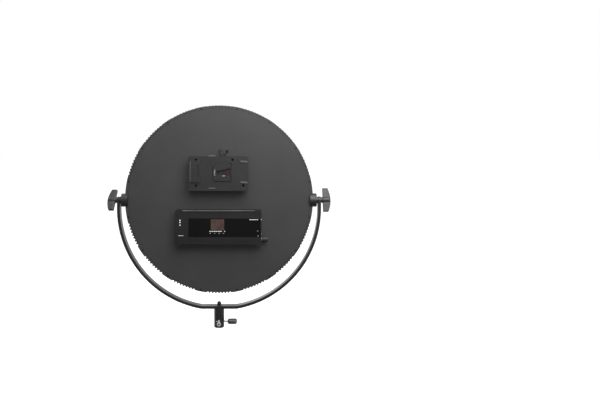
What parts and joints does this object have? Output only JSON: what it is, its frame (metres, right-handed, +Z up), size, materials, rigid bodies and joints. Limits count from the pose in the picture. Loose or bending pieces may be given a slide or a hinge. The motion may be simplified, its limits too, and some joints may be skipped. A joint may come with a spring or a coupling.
{
  "type": "led panel light",
  "caption": "Thin round edge-lit LED studio panel hung in a flat-bar yoke, with a battery plate and control box on its back, tilt knobs and a stand socket.",
  "frame": {"origin": "centre of the stand socket's mouth, at the bottom of the receiver", "axes": "+Z up along the stand socket, +Y the way the light leaves, +X along the tilt axis towards the controller's dial"},
  "size_m": [0.571, 0.069, 0.567],
  "materials": {
    "head_paint": "fine dark grey powder coat",
    "bezel_paint": "fine dark grey powder coat",
    "diffuser_white": "frosted white acrylic",
    "clear_acrylic": "clear acrylic",
    "reflector_film": "white film",
    "bare_aluminium": "bare extrusion",
    "board_white": "white solder mask",
    "emitter_warm": "phosphor resin",
    "emitter_cool": "phosphor resin",
    "black_steel": "black oxide",
    "block_paint": "satin dark grey coat",
    "brass": "machined",
    "black_plastic": "fine moulded texture",
    "maroon_plastic": "matte",
    "bright_steel": "zinc plated",
    "lead_black_pvc": "satin",
    "lead_red_pvc": "satin",
    "grommet_rubber": "matte",
    "case_paint": "satin black coat",
    "window_gloss": "gloss black panel",
    "lcd_glass": "unlit display glass",
    "status_white": "white lens",
    "board_green": "solder mask",
    "coil_ferrite": "ferrite and wire",
    "encoder_plastic": "moulded",
    "dial_rubber": "knurled",
    "yoke_paint": "satin black coat",
    "knob_plastic": "grained moulding",
    "washer_nylon": "nylon"
  },
  "bodies": {
    "yoke": {"yoke_bar": "yoke_paint", "pivot_washer_left": "washer_nylon", "pivot_washer_right": "washer_nylon", "stand_receiver": "yoke_paint", "receiver_bolt": "black_steel", "spigot_key": "bright_steel", "spigot_key_screw": "black_steel", "roll_pin": "bright_steel"},
    "head": {"rim_frame": "head_paint", "back_plate": "head_paint", "front_bezel": "bezel_paint", "diffuser": "diffuser_white", "light_guide": "clear_acrylic", "reflector": "reflector_film", "heat_ring": "bare_aluminium", "led_board": "board_white", "warm_emitters": "emitter_warm", "cool_emitters": "emitter_cool", "rim_screws": "black_steel", "pivot_block_left": "block_paint", "pivot_block_right": "block_paint", "pivot_insert_left": "brass", "pivot_insert_right": "brass", "battery_spacer": "black_plastic", "battery_plate": "black_plastic", "plate_screws": "black_steel", "terminal_block": "black_plastic", "battery_contacts": "brass", "v_socket": "black_plastic", "v_socket_floor": "maroon_plastic", "detent_roller": "bright_steel", "plate_hooks": "black_plastic", "lead_black": "lead_black_pvc", "lead_red": "lead_red_pvc", "lead_grommets": "grommet_rubber", "controller_base": "case_paint", "controller_case": "case_paint", "case_screws": "bright_steel", "control_window": "window_gloss", "lcd_screen": "lcd_glass", "status_lights": "status_white", "display_board": "board_green", "driver_board": "board_green", "driver_coils": "coil_ferrite", "heat_sink": "bare_aluminium", "dial_encoder": "encoder_plastic", "dial_nut": "bright_steel"},
    "left_knob": {"tilt_knob_left": "knob_plastic", "tilt_stud_left": "bright_steel"},
    "right_knob": {"tilt_knob_right": "knob_plastic", "tilt_stud_right": "bright_steel"},
    "lock": {"lock_knob": "knob_plastic", "lock_screw": "bright_steel"},
    "dial": {"control_dial": "dial_rubber"},
    "release": {"release_slide": "black_plastic", "release_spring": "bright_steel"},
    "latch": {"battery_latch": "bright_steel"}
  },
  "joints": [
    {"name": "tilt", "type": "hinge", "parent": "yoke", "child": "head", "pos_m": [0, 0, 0.3245], "axis": [1, 0, 0], "continuous": true},
    {"name": "left_knob_turn", "type": "hinge", "parent": "yoke", "child": "left_knob", "pos_m": [-0.265, 0, 0.3245], "axis": [-1, 0, 0], "range_deg": [0, 360]},
    {"name": "right_knob_turn", "type": "hinge", "parent": "yoke", "child": "right_knob", "pos_m": [0.265, 0, 0.3245], "axis": [1, 0, 0], "range_deg": [0, 360]},
    {"name": "lock_knob_turn", "type": "hinge", "parent": "yoke", "child": "lock", "pos_m": [0.03, 0, 0.013], "axis": [1, 0, 0], "range_deg": [0, 360]},
    {"name": "dial_turn", "type": "hinge", "parent": "head", "child": "dial", "pos_m": [0.115, -0.021, 0.228], "axis": [1, 0, 0], "continuous": true},
    {"name": "release_press", "type": "slide", "parent": "head", "child": "release", "axis": [0, 0, -1], "range_m": [0, 0.004], "stiffness_N_per_m": 400, "springref_m": -0.003, "deforming": ["release_spring"]},
    {"name": "latch_draw", "type": "slide", "parent": "head", "child": "latch", "axis": [0, 1, 0], "range_m": [0, 0.003]}
  ],
  "couplings": [
    {"joint": "latch_draw", "follows": "release_press", "ratio": 0.75}
  ]
}
